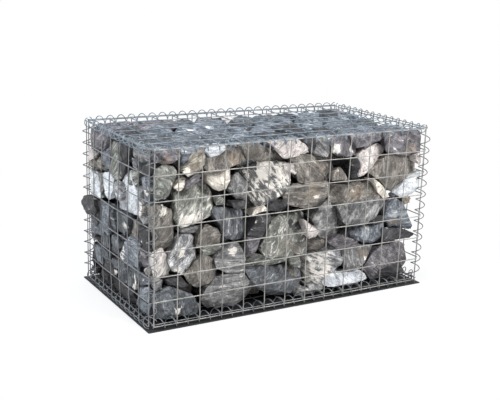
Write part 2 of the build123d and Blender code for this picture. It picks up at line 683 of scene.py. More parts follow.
@dataclass
class MeshPanel:
    """A welded panel: columns of wire on its inner side, rows on its outer side.

    layer is how far a wire's middle lies from the panel's, and overhang how far it passes the last
    crossing. waviness and lift are how far it sways across and in depth. Sizes are in millimetres.
    """

    node: str
    face: Face
    finish: bpy.types.Material
    seed: int
    wire_radius: float = 1.6
    layer: float = 1.8
    overhang: float = 2.0
    steps_per_cell: int = 3
    waviness: float = 0.5
    lift: float = 0.35
    bead_height: float = 1.5
    bead_spread: float = 1.2

    def _wire(self, shape: Shape, along: int, place: float, depth: float,
              rng: np.random.Generator) -> None:
        """Add one wire.

        Args:
            shape: The panel so far.
            along: 0 for a row, 1 for a column.
            place: Its place across, in cells.
            depth: Its depth from the panel's middle.
            rng: The source of its waviness.
        """
        count = self.face.cells[along]
        pitch = float(np.linalg.norm(self.face.across if along == 0 else self.face.down))
        spare = self.overhang / pitch
        waves = rng.uniform(0.0, 2 * math.pi, 4)
        path = []
        for share in np.linspace(-spare, count + spare, count * self.steps_per_cell + 1):
            fade = math.sin(math.pi * min(max(share / count, 0.0), 1.0))
            ripple = math.sin(1.7 * share + waves[0]) + math.sin(0.6 * share + waves[1])
            sway = self.waviness * fade * ripple
            lift = self.lift * fade * math.sin(2.3 * share + waves[2])
            u, v = (share, place) if along == 0 else (place, share)
            point = self.face.at(u, v, depth + lift)
            side = self.face.down if along == 0 else self.face.across
            path.append(point + side / np.linalg.norm(side) * sway)
        shape.tube(np.array(path), self.wire_radius)

    def build(self) -> bpy.types.Object:
        """Weld the panel.

        Returns:
            The piece.
        """
        shape = Shape(self.node.replace("mesh", "wire") + "_welded")
        rng = np.random.default_rng(self.seed)
        wide, tall = self.face.cells
        for column in range(wide + 1):
            self._wire(shape, 1, column, self.layer, rng)
        for row in range(tall + 1):
            self._wire(shape, 0, row, -self.layer, rng)
        radii = self.bead_height + self.bead_spread * (1 - np.abs(self.face.inward))
        for column in range(wide + 1):
            for row in range(tall + 1):
                shape.bead(self.face.at(column, row), radii)
        return enter(shape.piece([self.finish], WIRE_CREASE), "mesh_wire", self.node)


@dataclass
class LacingCoil:
    """A wire coil wound through the edge wires of two panels.

    run is the axis it lies along, and centre the height of the basket's middle. It lies by sink
    nearer to the middle than in the CAD, and by overrun longer at each end. Its first and last turn
    widen inward by a flare, as a share of the radius.
    """

    node: str
    run: int
    pitch: float
    centre: float
    finish: bpy.types.Material
    sink: float = 0.0
    radius: float = 15.4
    wire_radius: float = 1.5
    steps_per_turn: int = 16
    overrun: float = 13.0
    end_flare: float = 0.07
    first_flare: float = 0.07

    def __post_init__(self) -> None:
        """Read its axis from its CAD box, and find which way the middle of the basket lies."""
        low, high = node_box(self.node)
        self.middle = (low + high) / 2
        self.half_run = (high - low)[self.run] / 2 + self.overrun
        inward = -self.middle if self.run == 2 else np.array([0.0, 0.0, self.centre - self.middle[2]])
        inward[self.run] = 0.0
        self.inward = np.sign(inward) / math.sqrt(np.count_nonzero(inward))
        self.middle = self.middle + self.inward * self.sink
        self.middle[self.run] = self.centre if self.run == 2 else 0.0

    def build(self) -> bpy.types.Object:
        """Wind the coil, each turn's innermost point between two bars and its end turns wider inward.

        Returns:
            The piece.
        """
        run = np.eye(3)[self.run]
        side = np.cross(run, self.inward)
        turns = self.half_run / self.pitch
        path = []
        for turn in np.linspace(0.5 - turns, 0.5 + turns, int(2 * turns * self.steps_per_turn)):
            angle = 2 * math.pi * turn
            end = max(0.0, abs(turn - 0.5) - turns + 1.0)
            spare = self.radius * end * (self.first_flare if turn < 0.5 else self.end_flare)
            round_it = math.cos(angle) * self.inward + math.sin(angle) * side
            path.append(self.middle + spare * self.inward + (self.radius + spare) * round_it
                        + self.pitch * (turn - 0.5) * run)
        shape = Shape(self.node + "_wound")
        shape.tube(np.array(path), self.wire_radius)
        return enter(shape.piece([self.finish], WIRE_CREASE), "coil_wire", self.node)


@dataclass
class BaseBoard:
    """The thin board under the basket, its arrises rubbed round and its top and edges worn by warp."""

    finish: bpy.types.Material
    node: str = "base_board"
    arris: float = 2.0
    step: float = 22.0
    warp: float = 0.35
    warps_per_millimetre: float = 0.02
    crease: float = 40.0

    def build(self) -> bpy.types.Object:
        """Cut the board.

        Returns:
            The piece.
        """
        low, high = node_box(self.node)
        work = bmesh.new()
        bmesh.ops.create_cube(work, size=1.0)
        for corner in work.verts:
            corner.co = Vector([(high[i] - low[i]) * corner.co[i] + (low[i] + high[i]) / 2
                                for i in range(3)])
        bmesh.ops.bevel(work, geom=work.edges[:], offset=self.arris, segments=2, profile=0.5,
                        affect="EDGES")
        bmesh.ops.triangulate(work, faces=work.faces[:])
        split_long(work, lambda point: self.step)
        for corner in work.verts:
            wear = noise.noise(corner.co * self.warps_per_millimetre) * self.warp
            if corner.co.z > (low[2] + high[2]) / 2:
                corner.co.z += min(wear, 0.0)
            for i in (0, 1):
                if abs(corner.co[i]) > high[i] - self.arris / 2:
                    corner.co[i] -= math.copysign(abs(wear), corner.co[i])
        points = np.array([corner.co for corner in work.verts])
        faces = [[corner.index for corner in face.verts] for face in indexed(work).faces]
        work.free()
        shape = Shape("base_board_worn")
        shape.add(points, faces)
        return enter(shape.piece([self.finish], self.crease), "board", self.node)


def basket_coils(basket: Basket, lid_finish: bpy.types.Material,
                 finish: bpy.types.Material) -> list[LacingCoil]:
    """Set out the twelve coils, the top and upright ones drawn in a little towards the stones.

    Args:
        basket: The basket's sizes.
        lid_finish: The wire of the coils round the lid, bluish as painted sky reflection.
        finish: The wire of the others, darker than the mesh as painted shade.

    Returns:
        The coils.
    """
    turn, deep_turn = basket.pitch / 2, basket.deep_pitch / 2
    centre = (basket.bottom + basket.top) / 2
    coils = []
    for level, sink, radius, wire in (("top", 7.5, 13.6, lid_finish), ("bottom", 0.0, 15.4, finish)):
        for edge, run, pitch in (("front", 0, turn), ("back", 0, turn), ("left", 1, deep_turn),
                                 ("right", 1, deep_turn)):
            coils.append(LacingCoil(f"{level}_{edge}_coil", run, pitch, centre, wire, sink, radius))
    for corner in ("front_left", "front_right", "back_left", "back_right"):
        coils.append(LacingCoil(f"{corner}_coil", 2, turn, centre, finish, 4.5))
    top_left = coils[2]
    top_left.first_flare = 0.3
    return coils


def indexed(work: bmesh.types.BMesh) -> bmesh.types.BMesh:
    """Number the points of a work mesh, and return it."""
    work.verts.index_update()
    return work


def split_long(work: bmesh.types.BMesh, limit: Callable[[Vector], float], rounds: int = 5) -> None:
    """Split triangles until no edge is longer than the limit at its middle.

    Args:
        work: The triangle mesh.
        limit: Gives the longest edge allowed at a point.
        rounds: How often it is split at most.
    """
    for _ in range(rounds):
        long = [edge for edge in work.edges
                if edge.calc_length() > limit((edge.verts[0].co + edge.verts[1].co) / 2)]
        if not long:
            break
        bmesh.ops.subdivide_edges(work, edges=long, cuts=1)
        bmesh.ops.triangulate(work, faces=[face for face in work.faces if len(face.verts) > 3])


# Stones


@dataclass(frozen=True)
class Stone:
    """A stone against one side, by its outline there, in cells across and down.

    lean is how its main facet tilts, to the right and up. back is how far behind the wires it lies
    and proud how far it pushes out through them, in millimetres. pale and rusty are patches, as
    place and radius in cells.
    """

    kind: Kind
    outline: Outline
    lean: tuple[float, float] = (0.0, 0.0)
    back: float = 0.0
    pale: tuple[Spot, ...] = ()
    rusty: tuple[Spot, ...] = ()
    proud: float = 0.0


FRONT_STONES = (
    Stone(Kind.PURPLE, ((0, 0), (.9, -.05), (1.05, .3), (.7, .6), (.25, .55), (0, .5)), (.1, .3),
          rusty=((.5, .5, .25),)),
    Stone(Kind.BLUE, ((1.05, 0), (1.9, 0), (1.9, .15), (1.4, .6), (1.15, .75), (1.05, .5)), (0, .2),
          24),
    Stone(Kind.TAN, ((1.15, .85), (1.7, .25), (2.1, .15), (2.15, .7), (1.85, 1), (1.42, 1.15),
          (1.2, .95)), (.2, .2), pale=((1.3, 1.05, .16),)),
    Stone(Kind.WHITE, ((2.25, .3), (2.4, .05), (2.95, 0), (3, .2), (2.75, .4), (2.3, .45)), (0, .3), 8),
    Stone(Kind.BROWN, ((2.15, .5), (2.9, .25), (3.1, .17), (3.6, .22), (3.75, .45), (3.82, .75),
          (3.3, .92), (2.9, 1.05), (2.3, 1), (2.1, .85)), (.1, .25), rusty=((3.5, .6, .3),)),
    Stone(Kind.CREAM, ((2.1, 1), (3.3, .95), (3.3, 1.15), (3.15, 1.5), (3, 1.75), (2.7, 1.83),
          (2.45, 1.65), (2.2, 1.3)), (.2, .1)),
    Stone(Kind.BROWN, ((3.8, .15), (4.3, .1), (5, .3), (5.6, .8), (5.3, .9), (4.6, .75), (3.95, .7),
          (3.85, .4)), (0, -.2), 6),
    Stone(Kind.PINK, ((5.1, .15), (5.6, 0), (6.3, 0), (6.75, .4), (6.98, .65), (6.2, .65), (5.85, .75),
          (5.65, .72), (5.4, .45)), (0, .3)),
    Stone(Kind.GREY, ((7, 0), (7.6, 0), (7.95, .5), (8, .9), (7.6, .85), (7.2, .75), (7, .6)), (0, .1),
          8),
    Stone(Kind.DARK_AND_SHADE, ((6.5, 0), (7.1, 0), (7.2, .6), (6.9, .6)), (0, 0), 34),
    Stone(Kind.PURPLE, ((8, .3), (8.25, .1), (8.7, .05), (9.05, .35), (9.25, .6), (9.15, .85),
          (8.8, .93), (8.3, .88), (8.05, .7)), (.1, .1), pale=((8.15, .6, .2), (9.1, .65, .16))),
    Stone(Kind.PURPLE, ((9, -.05), (10.7, -.1), (10.87, .2), (10.4, .4), (9.9, .55), (9.3, .6),
          (9.1, .3)), (.1, .3), pale=((10.2, .35, .12),)),
    Stone(Kind.PURPLE, ((11, -.05), (12.1, -.1), (12.55, .1), (12.8, .45), (12.75, .9), (12.5, 1.15),
          (12.1, 1.05), (11.05, .98), (10.98, .5)), (.15, .1), rusty=((12.3, .95, .25),)),
    Stone(Kind.PINK, ((12.5, 1.15), (12.75, 1), (12.95, 1.3), (12.9, 1.65), (12.6, 1.45)), (.2, 0)),
    Stone(Kind.GREEN, ((0, .75), (.35, .6), (.75, .7), (.93, .9), (.85, 1.3), (.65, 1.75), (.5, 1.95),
          (0, 1.85)), (-.1, 0)),
    Stone(Kind.CREAM, ((1.1, 1.05), (1.25, 1.2), (1.27, 1.55), (1, 1.67), (.78, 1.5), (.95, 1.3)),
          (.2, .2)),
    Stone(Kind.PURPLE, ((1.35, 1.3), (1.6, 1.1), (1.95, 1.1), (1.9, 1.35), (1.5, 1.6), (1.3, 1.6)),
          (0, -.2), 10),
    Stone(Kind.VEINED, ((.85, 1.75), (1.25, 1.65), (1.7, 1.4), (2.15, 1.35), (2.4, 1.75), (2.55, 2.2),
          (2.5, 2.6), (2.2, 2.95), (1.6, 3.1), (1.1, 3.1), (.85, 2.7), (.8, 2.2)), (.1, .1),
          pale=((1.3, 2.9, .22), (1.9, 2.85, .2), (1.5, 2.0, .12))),
    Stone(Kind.BROWN, ((0, 2.2), (.3, 2.15), (.75, 2.4), (.83, 2.9), (.82, 3.6), (.6, 3.85),
          (.15, 3.93), (0, 3.8)), (.1, 0), pale=((.45, 2.35, .18),)),
    Stone(Kind.GREY, ((1, 3.15), (2, 3.1), (2, 3.4), (1.5, 3.4), (1.1, 3.35)), (0, 0), 26),
    Stone(Kind.MOTTLED, ((.95, 3.6), (1.2, 3.45), (1.6, 3.5), (1.75, 3.75), (1.8, 4.1), (1.75, 4.4),
          (1.5, 4.7), (1.2, 5), (.8, 4.8), (.6, 4.4), (.75, 4.05)), (.1, .1), pale=((1.2, 4.2, .2),
          (1.05, 4.85, .12))),
    Stone(Kind.BROWN, ((2, 3.3), (2.25, 3.12), (2.7, 3.35), (2.85, 3.7), (2.85, 3.95), (2.4, 4),
          (1.8, 4), (1.85, 3.6)), (.1, 0), 4),
    Stone(Kind.GREEN, ((2, 4), (2.9, 3.95), (2.9, 4.3), (2.4, 4.4), (2, 4.35)), (0, -.2), 14),
    Stone(Kind.SLATE, ((2.6, 2.45), (3, 2.55), (3.7, 2.7), (3.9, 3.05), (4.05, 3.6), (3.9, 3.85),
          (3.4, 3.85), (3.1, 3.75), (2.9, 3.3), (2.6, 2.9), (2.5, 2.65)), (.25, .3)),
    Stone(Kind.GREY, ((3.3, 1.3), (3.5, 1.15), (3.75, 1.4), (4.05, 1.65), (4, 2), (3.95, 2.25),
          (3.5, 2.2), (3.3, 2), (3.15, 1.8)), (0, 0), 14),
    Stone(Kind.DARK_AND_SHADE, ((3.3, 2.35), (3.9, 2.3), (3.95, 2.65), (3.6, 2.7), (3.35, 2.55)), (0, 0), 14),
    Stone(Kind.GREEN, ((2.6, 2.1), (2.9, 2.05), (3, 2.4), (2.65, 2.42)), (.1, .2), 8),
    Stone(Kind.STREAKED, ((3.45, .98), (4, .76), (4.4, .72), (5.1, .78), (5.6, .95), (6.2, 1.2),
          (6, 1.7), (5.7, 2.35), (5.2, 2.45), (4.8, 2.65), (4.4, 2.6), (4.15, 2.3), (4.1, 1.9),
          (3.8, 1.4)), (-.05, .1), pale=((4.1, 1.1, .8), (4.9, 1.05, .8), (5.7, 1.1, .6),
          (4.6, 2.4, .4))),
    Stone(Kind.PINK, ((5.6, .95), (6.45, 1.05), (6.45, 1.3), (6.2, 1.45), (5.7, 1.25)), (.1, .2), 2),
    Stone(Kind.BROWN, ((6.1, .75), (6.5, .65), (7.4, .75), (7.75, .8), (8, 1.15), (8.05, 1.35),
          (8, 1.8), (7.7, 1.85), (7, 1.8), (6.45, 1.8), (6.35, 1.5), (6.45, 1.1)), (.1, .1),
          rusty=((7.65, 1.3, .35),)),
    Stone(Kind.BROWN, ((6, 2), (6.2, 1.9), (7.9, 1.9), (7.95, 2.3), (7.85, 2.55), (7.4, 2.85),
          (7, 2.95), (6.2, 2.8), (5.85, 2.6), (5.75, 2.35)), (.1, 0), rusty=((7.2, 2.3, .35),)),
    Stone(Kind.BROWN, ((8.05, 1.65), (8.4, 1.33), (8.6, 1.5), (8.97, 1.95), (8.1, 1.9)), (0, .1), 6,
          pale=((8.5, 1.42, .1),)),
    Stone(Kind.DARK_AND_SHADE, ((9.05, 1), (9.35, .95), (9.5, 1.2), (9.55, 1.5), (9.4, 1.9), (9.05, 1.9)),
          (-.2, 0), 8),
    Stone(Kind.PINK, ((9.35, .95), (9.6, .75), (10, .65), (10.45, .5), (10.65, .7), (10.7, 1),
          (10.5, 1.4), (10, 1.7), (9.5, 1.9), (9.6, 1.5), (9.45, 1.2)), (.1, .1)),
    Stone(Kind.BROWN, ((10.1, 1.75), (10.6, 1.4), (10.9, 1.1), (11.4, 1), (12.1, 1.05), (12.5, 1.25),
          (12.9, 1.75), (12.4, 1.95), (11.9, 2.3), (11.3, 2.65), (11, 2.3), (10.5, 2)), (.1, 0)),
    Stone(Kind.WHITE, ((11.35, 2.7), (11.8, 2.35), (12.3, 2), (12.9, 1.9), (12.9, 2.9), (12.3, 2.95),
          (11.85, 3), (11.6, 2.85)), (.1, .1), 2),
    Stone(Kind.TAN, ((12, 3), (12.45, 3), (12.4, 3.3), (12.15, 3.4), (12, 3.3)), (0, 0), 6),
    Stone(Kind.BROWN, ((8.1, 2.3), (8.35, 2.15), (9.9, 1.95), (10.3, 2.05), (10.55, 2.4), (10.7, 2.8),
          (10.9, 3.05), (8.8, 3.1), (8.3, 2.9), (8.1, 2.7)), (0, .35), 2, rusty=((9.6, 2.5, .4),)),
    Stone(Kind.GREY, ((8.5, 3.0), (9.5, 2.85), (10.85, 2.85), (10.85, 3.3), (10.5, 3.75), (10.1, 3.95),
          (9.3, 3.9), (8.95, 3.9), (8.75, 3.5)), (.1, -.15), 1),
    Stone(Kind.CREAM, ((10.3, 2.05), (10.45, 2.1), (10.8, 2.4), (11.1, 2.75), (11.2, 2.9), (10.9, 2.95),
          (10.6, 2.7), (10.5, 2.35)), (.2, .1), 3),
    Stone(Kind.VEINED, ((5.2, 3.35), (5.6, 3.1), (6, 3), (6.45, 2.95), (6.7, 3.2), (6.85, 3.6),
          (7, 4.1), (7, 4.5), (6.9, 4.9), (6.2, 5), (5.5, 4.95), (5, 4.8), (4.85, 4.4), (5, 3.95)),
          (.2, .1), rusty=((6.2, 4.6, .4),)),
    Stone(Kind.PINK, ((6.75, 3.45), (7, 3.65), (7.4, 3.85), (7.55, 4.1), (7.4, 4.35), (7.1, 4.4),
          (7, 4.1), (6.85, 3.8)), (.1, 0), 6),
    Stone(Kind.GREY, ((7.25, 3.5), (7.5, 3.1), (7.8, 2.8), (8.1, 2.75), (8.4, 3), (8.75, 3.4),
          (8.8, 3.65), (8.6, 4.1), (8.4, 4.45), (8.05, 4.5), (7.6, 4.25), (7.4, 3.85)), (.2, .2)),
    Stone(Kind.DARK_AND_SHADE, ((4.1, 3.8), (4.25, 3.4), (4.5, 3.05), (5, 2.95), (5.15, 3.2), (4.95, 3.6),
          (4.7, 4.05), (4.1, 4)), (0, 0), 4, pale=((4.2, 3.6, .1), (4.4, 3.25, .1))),
    Stone(Kind.CREAM, ((4.2, 3.0), (4.35, 2.75), (4.8, 2.65), (4.95, 2.85), (4.6, 2.95)), (0, .2), 8),
    Stone(Kind.PURPLE, ((4.1, 3.9), (4.7, 4), (4.55, 4.45), (4.5, 4.7), (4.3, 4.7), (4.05, 4.7)),
          (.1, 0), 4),
    Stone(Kind.DARK_AND_SHADE, ((5, 2.6), (5.3, 2.4), (5.8, 2.4), (5.9, 2.75), (5.5, 2.95), (5, 2.9)), (0, .1),
          8),
    Stone(Kind.PINK, ((-.05, 4), (.3, 3.88), (.58, 4.2), (.78, 4.7), (.5, 5), (-.05, 4.95)), (.1, .1),
          pale=((.3, 4.4, .6),)),
    Stone(Kind.GREY, ((0, 5), (.35, 5.1), (.3, 5.5), (0, 5.6)), (0, 0), 4),
    Stone(Kind.BROWN, ((1.3, 5.05), (1.7, 4.6), (2, 4.35), (2.3, 4.45), (2.55, 4.6), (2.65, 5),
          (2.6, 5.35), (2.2, 5.65), (1.9, 5.7), (1.5, 5.45)), (.1, .1)),
    Stone(Kind.DARK_AND_SHADE, ((.5, 5.15), (1.1, 5.1), (1.55, 5.6), (1.3, 5.65), (.6, 5.35)), (0, 0), 10),
    Stone(Kind.GREY, ((2.6, 4.6), (2.9, 4.25), (3.4, 4), (3.65, 4.05), (3.85, 4.4), (4, 4.75), (4, 5.1),
          (3.9, 5.3), (3.4, 5.3), (3, 5.15), (2.7, 4.95)), (.15, .1), pale=((3.45, 4.35, .16),)),
    Stone(Kind.GREEN, ((4.05, 4.75), (4.5, 4.6), (4.85, 4.85), (5.1, 5), (6.1, 5.1), (5.2, 5.2),
          (4.1, 5.1)), (0, -.1), 6),
    Stone(Kind.SLATE, ((4.1, 5.3), (5, 5.25), (6.2, 5.35), (6.6, 5.65), (6.7, 5.95), (6.6, 6.5),
          (6.3, 6.8), (5.2, 6.55), (4.5, 6), (4.2, 5.5)), (.05, .15)),
    Stone(Kind.GREEN, ((6.2, 5.1), (6.6, 5), (6.7, 5.3), (6.75, 5.6), (6.5, 5.5), (6.2, 5.3)), (0, 0),
          10),
    Stone(Kind.MOTTLED, ((6.65, 5.1), (6.9, 4.9), (7.2, 4.55), (7.7, 4.5), (8.2, 4.6), (8.6, 4.9),
          (8.9, 5.2), (8.95, 5.6), (8.6, 5.75), (8.3, 5.9), (7.9, 6.2), (7.5, 6.45), (7.1, 6.2),
          (6.9, 5.7)), (.1, .2), pale=((7.1, 5.1, .8), (7.3, 5.8, .8))),
    Stone(Kind.PURPLE, ((8.15, 4.6), (8.6, 4.35), (9.3, 4.6), (9.75, 4.75), (9.85, 4.95), (8.9, 5.05),
          (8.5, 4.9)), (0, -.1), 6),
    Stone(Kind.GREY, ((8.95, 5.05), (9.8, 5), (10.5, 5.05), (10.35, 5.5), (10.05, 5.9), (9.6, 6),
          (9.1, 5.95), (8.95, 5.5)), (.1, .1), pale=((10.25, 5.6, .12),), rusty=((10, 5.35, .25),)),
    Stone(Kind.PURPLE, ((10.5, 5.45), (10.9, 5.2), (11.9, 5.05), (12.2, 5.3), (12.3, 5.7), (12.4, 5.95),
          (12.1, 6.2), (12.05, 6.8), (10.6, 6.75), (10.3, 6.3), (10.1, 6.05)), (0, -.1), 2),
    Stone(Kind.WHITE, ((7.9, 6.3), (8.3, 6), (8.9, 5.95), (9.8, 6.1), (10.1, 6.3), (10.2, 6.55),
          (9.9, 6.65), (9, 6.7), (8.2, 6.7), (7.9, 6.6)), (0, .2)),
    Stone(Kind.GREY, ((6.55, 6.65), (6.7, 6.5), (7.1, 6.5), (7.5, 6.75), (7.4, 6.9), (6.6, 6.9)),
          (0, .2)),
    Stone(Kind.GREY, ((7, 6.3), (7.9, 6.3), (7.9, 6.7), (7.3, 6.75)), (0, 0), 12),
    Stone(Kind.BLUE, ((9.1, 4.1), (9.4, 4), (10.9, 4.05), (11, 4.4), (10.85, 4.9), (10.4, 5),
          (9.9, 4.85), (9.5, 4.6), (9.2, 4.45)), (.1, .1)),
    Stone(Kind.DARK_AND_SHADE, ((10.3, 3.75), (10.95, 3.7), (10.95, 4.05), (10.4, 4.1)), (0, 0), 12),
    Stone(Kind.DARK_AND_SHADE, ((11, 4.35), (11.6, 4.35), (12.1, 4.5), (12.6, 4.75), (12.9, 4.8), (12.5, 4.95),
          (11.9, 5), (11.05, 4.95)), (0, .1), 2),
    Stone(Kind.BLUE, ((11.05, 3.5), (11.3, 3.15), (11.7, 3.1), (12, 3.3), (12.25, 3.8), (12.5, 4.2),
          (12.7, 4.6), (12, 4.5), (11.3, 4.25), (11.05, 3.9)), (.1, .1), rusty=((11.6, 4.15, .25),)),
    Stone(Kind.SLATE, ((.05, 5.9), (.3, 5.6), (.7, 5.45), (1.1, 5.65), (1.6, 5.95), (1.85, 6.3),
          (1.95, 6.8), (.5, 6.75), (.1, 6.6)), (0, -.1), pale=((1.12, 6.5, .16),)),
    Stone(Kind.GREY, ((2.1, 6.2), (2.3, 5.8), (2.7, 5.4), (3.3, 5.35), (3.9, 5.4), (4.3, 5.8),
          (4.55, 6.15), (4.3, 6.5), (4, 6.75), (3, 6.85), (2.5, 6.7), (2.2, 6.45)), (0, .05)),
)

LEFT_STONES = (
    Stone(Kind.BROWN, ((.9, .75), (1.5, .55), (2.2, .65), (2.1, .85), (1.6, .95), (1, 1))),
    Stone(Kind.BROWN, ((.75, 1.05), (1.4, 1), (1.65, 1.15), (1.5, 1.5), (1.3, 1.75), (.75, 1.7))),
    Stone(Kind.BROWN, ((1.5, 1.55), (2, 1.2), (2.3, 1.45), (2, 1.75), (1.45, 1.85))),
    Stone(Kind.BLUE, ((2.2, .9), (2.6, .35), (3.1, .1), (3.15, .9), (3, 1.6), (2.5, 1.6), (2.3, 1.2))),
    Stone(Kind.DARK_AND_SHADE, ((1.9, .5), (2.5, .1), (2.95, .1), (2.5, .4), (2.2, .85))),
    Stone(Kind.BLUE, ((1.3, .1), (2.4, .1), (1.8, .5), (1.3, .6))),
    Stone(Kind.GREEN, ((3.15, .1), (4.1, .1), (4.1, .7), (4.05, 1.3), (4, 1.75), (3.5, 1.75),
          (3.15, 1.5))),
    Stone(Kind.DARK_AND_SHADE, ((4.1, .1), (4.95, .15), (5, .6), (4.95, 1), (4.2, 1.05))),
    Stone(Kind.DARK_AND_SHADE, ((4.1, 1.05), (4.85, 1), (4.6, 1.4), (4.4, 1.75), (4.1, 1.75))),
    Stone(Kind.GREY, ((5.4, .55), (5.5, .15), (7, .05), (7, .45), (6.3, .6), (5.9, .5))),
    Stone(Kind.WHITE, ((5.3, .95), (5.45, .6), (6.1, .6), (6.5, .75), (6.5, .95), (5.5, 1))),
    Stone(Kind.DARK_AND_SHADE, ((6.3, 1.1), (6.55, .7), (7, .55), (7, 1.05))),
    Stone(Kind.GREEN, ((5, 1.15), (5.9, 1.05), (6.1, 1.4), (5.9, 1.75), (5.1, 1.7)),
          pale=((5.6, 1.55, .15),)),
    Stone(Kind.BLUE, ((6.2, 1.3), (6.6, 1.1), (7, 1.1), (7, 2), (6.5, 2.1), (6.3, 1.8)),
          pale=((6.8, 1.7, .15),)),
    Stone(Kind.WHITE, ((4.15, 2.9), (4.1, 2.4), (4.4, 1.9), (4.6, 1.5), (4.95, 1.2), (5.2, 1.7),
          (5.9, 1.9), (6, 2.3), (5.95, 2.75), (5.3, 2.95))),
    Stone(Kind.MOTTLED, ((3.6, 2), (4, 1.8), (4.6, 1.8), (4.5, 2.2), (4.2, 2.6), (3.8, 2.6),
          (3.6, 2.3))),
    Stone(Kind.WHITE, ((2.45, 2.3), (2.5, 1.8), (3, 1.7), (3.7, 1.75), (3.7, 2.1), (3.5, 2.45),
          (3.1, 2.8), (2.5, 2.85))),
    Stone(Kind.MOTTLED, ((6.05, 2.1), (6.9, 2.1), (7, 2.4), (6.9, 2.9), (6.5, 3), (6.05, 2.8)),
          pale=((6.2, 2.55, .15), (6.75, 2.6, .15))),
    Stone(Kind.GREEN, ((1.3, 1.95), (2.4, 1.9), (2.45, 2.4), (2.4, 2.9), (1.9, 2.75), (1.4, 2.7))),
    Stone(Kind.DARK_AND_SHADE, ((-.4, 3.75), (-.2, 3.45), (.3, 3.25), (.9, 3.15), (1.25, 3.2), (1.3, 3.7), (1, 4),
          (.1, 4.15)), back=-18, proud=30),
    Stone(Kind.DARK_AND_SHADE, ((1.3, 3.1), (2.05, 3.15), (2.1, 3.9), (1.4, 3.95))),
    Stone(Kind.BLUE, ((2.15, 3.1), (3, 3), (3.05, 3.7), (2.95, 4.35), (2.3, 4.4), (2.1, 3.9))),
    Stone(Kind.SLATE, ((3.1, 3.1), (3.85, 3.1), (3.85, 3.9), (3.7, 4.1), (3.1, 4.15)),
          pale=((3.5, 3.85, .15),)),
    Stone(Kind.SLATE, ((3.9, 3.1), (4.95, 3.1), (5, 3.7), (4.6, 3.95), (3.95, 3.95)),
          pale=((4.7, 3.5, .15),)),
    Stone(Kind.BROWN, ((5.05, 3.1), (6, 3.05), (6, 3.7), (5.4, 3.8), (5.1, 3.95))),
    Stone(Kind.DARK_AND_SHADE, ((6.1, 3.1), (7, 3.1), (6.85, 3.9), (6.3, 4), (6.1, 3.8))),
    Stone(Kind.BLUE, ((4.2, 5), (4.4, 4.6), (4.8, 4.1), (5.3, 3.8), (5.95, 3.75), (6, 4.3), (6, 4.9),
          (5.5, 5), (4.8, 5.05)), pale=((4.5, 4.6, .15), (4.3, 4.9, .15))),
    Stone(Kind.SLATE, ((3.95, 4.1), (4.6, 4.1), (4.4, 4.5), (4.1, 4.7), (3.95, 4.5))),
    Stone(Kind.SLATE, ((1.3, 4.05), (2.05, 4), (2.1, 4.5), (2.1, 4.9), (1.3, 4.95))),
    Stone(Kind.PURPLE, ((.5, 4), (1.25, 4.05), (1.25, 4.8), (.6, 4.85))),
    Stone(Kind.SLATE, ((2.2, 4.5), (2.85, 4.45), (2.85, 4.95), (2.25, 5))),
    Stone(Kind.SLATE, ((3.1, 4.25), (3.95, 4.2), (4.15, 4.7), (4.05, 5), (3.1, 5.05))),
    Stone(Kind.PURPLE, ((6.05, 4.05), (7, 4), (7, 4.6), (6.4, 4.75), (6.05, 4.8))),
    Stone(Kind.PINK, ((6.45, 4.8), (7, 4.6), (7, 4.95), (6.7, 5))),
    Stone(Kind.BLUE, ((1.35, 5.2), (2.1, 5.2), (2.25, 5.9), (1.4, 5.95))),
    Stone(Kind.SLATE, ((2.2, 5.1), (3, 5.15), (2.95, 5.6), (2.3, 5.75))),
    Stone(Kind.SLATE, ((3.1, 5.3), (4, 5.2), (3.9, 5.6), (3.2, 5.7))),
    Stone(Kind.DARK_AND_SHADE, ((2.3, 5.75), (3, 5.65), (3.9, 5.7), (3.9, 6), (2.4, 6)), pale=((3.7, 5.8, .15),)),
    Stone(Kind.SLATE, ((3.9, 5.2), (4.6, 5.05), (5, 5.3), (5, 5.95), (4, 6))),
    Stone(Kind.SLATE, ((5, 5.2), (5.4, 4.95), (6, 4.9), (6, 5.6), (5.7, 5.95), (5.1, 5.9)),
          pale=((5.3, 5.45, .15), (5.6, 5.75, .15))),
    Stone(Kind.SLATE, ((6.05, 5.1), (7, 5), (7, 5.3), (6.2, 5.6), (6.05, 5.5))),
    Stone(Kind.BLUE, ((6.15, 5.65), (7, 5.35), (7, 6), (6.2, 6))),
    Stone(Kind.BLUE, ((5.4, 6.1), (6.2, 6.05), (7, 6.1), (6.9, 6.6), (6.3, 6.75), (5.8, 6.7),
          (5.55, 6.4)), pale=((5.6, 6.2, .15),)),
    # These two dark stones along the lowest row are painted shade: that row of the left end lies in
    # shadow.
    Stone(Kind.DARK_AND_SHADE, ((1.3, 6.1), (3, 6.05), (3, 6.7), (1.4, 6.85))),
    Stone(Kind.DARK_AND_SHADE, ((3.05, 6.1), (5.3, 6.1), (5.4, 6.5), (5.2, 6.8), (3.1, 6.8))),
    Stone(Kind.PURPLE, ((.1, 6.95), (.5, 6.6), (1.25, 6.35), (1.3, 6.9), (.6, 7))),
    Stone(Kind.BROWN, ((0, .3), (.85, .1), (.75, 1), (.1, 1.2)), back=6),
    Stone(Kind.GREY, ((0, 1.35), (.7, 1.2), (.75, 1.9), (.1, 2.1)), back=6),
    Stone(Kind.SLATE, ((0, 2.25), (1.2, 2.1), (1.2, 3), (.1, 3)), back=10),
    Stone(Kind.SLATE, ((-.1, 4.3), (.5, 4.2), (.6, 5), (0, 5.1)), back=6),
    Stone(Kind.DARK_AND_SHADE, ((-.1, 5.2), (.9, 5), (1.25, 5.8), (.7, 6.3), (0, 6.3)), back=4),
)

# The right end repeats only the left end's stones that begin further across than this, so that the
# gaps at the front's right edge stay clear of them.
RIGHT_END_FROM = 1.9


